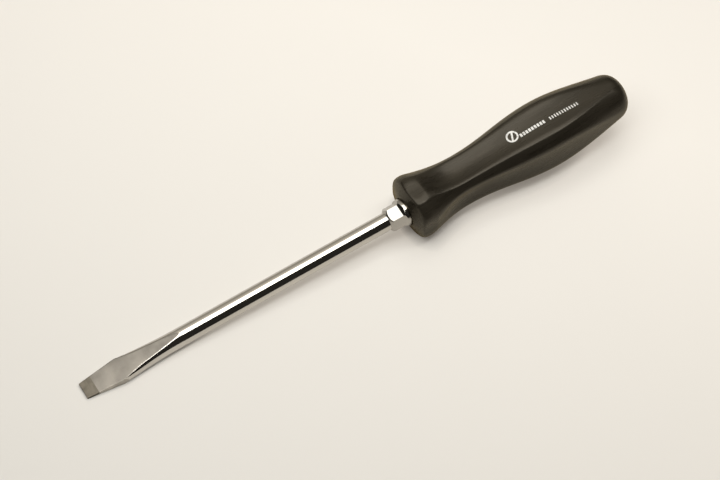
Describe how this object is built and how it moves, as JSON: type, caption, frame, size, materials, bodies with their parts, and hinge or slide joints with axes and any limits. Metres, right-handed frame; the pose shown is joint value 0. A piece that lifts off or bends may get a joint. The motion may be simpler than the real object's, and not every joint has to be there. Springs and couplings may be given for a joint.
{
  "type": "slotted screwdriver",
  "caption": "Keystone-tip slotted screwdriver with a round plated shank, a hexagonal wrench bolster and a fluted black moulded handle.",
  "frame": {"origin": "centre of the blade's end face", "axes": "+X along the tool from the tip to the butt; +Z square to the tip's flat faces, on the marked side of the handle; +Y across the tip"},
  "size_m": [0.2632, 0.0254, 0.0254],
  "materials": {
    "plated_blade": "bright plate, satin ground faces, bare dark tip",
    "plated_bolster": "bright plate",
    "black_plastic": "satin, lightly worn",
    "white_print": "thin matt print"
  },
  "bodies": {
    "root": {"blade": "plated_blade", "hex_bolster": "plated_bolster", "handle": "black_plastic"}
  },
  "joints": []
}
